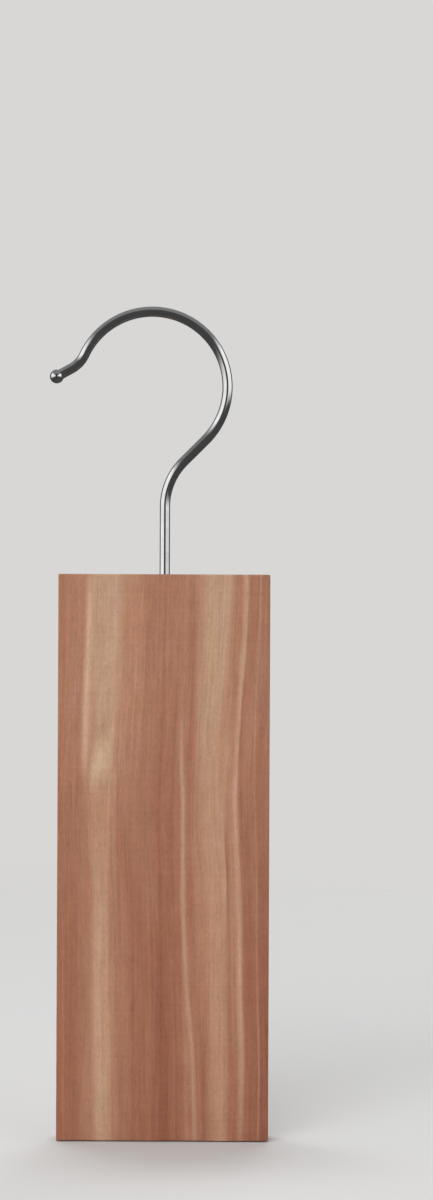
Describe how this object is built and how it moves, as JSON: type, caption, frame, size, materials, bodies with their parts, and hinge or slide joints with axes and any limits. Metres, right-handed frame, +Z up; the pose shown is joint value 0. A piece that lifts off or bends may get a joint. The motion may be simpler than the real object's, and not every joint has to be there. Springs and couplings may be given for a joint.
{
  "type": "cedar hanger block",
  "caption": "Flat upright board of red cedar with eased edges, hung from a closet rail by a chromed wire hook that swivels in its top edge.",
  "frame": {"origin": "inside top of the hook's loop, where it rests on the rail", "axes": "+Z up along the wire's stem, the board's broad front face towards -Y, the hook's loop in the XZ plane with its open side towards -X"},
  "size_m": [0.0734, 0.01, 0.2759],
  "materials": {
    "chromed_wire": "bright chrome plating on drawn steel wire",
    "red_cedar": "planed and lightly sanded bare wood, reddish heartwood with pale sapwood streaks"
  },
  "bodies": {
    "hook": {"wire_hook": "chromed_wire"},
    "block": {"cedar_block": "red_cedar"}
  },
  "joints": [
    {"name": "block_swivel", "type": "hinge", "parent": "hook", "child": "block", "pos_m": [0.00436, 0, -0.08545], "axis": [0, 0, 1], "continuous": true}
  ]
}
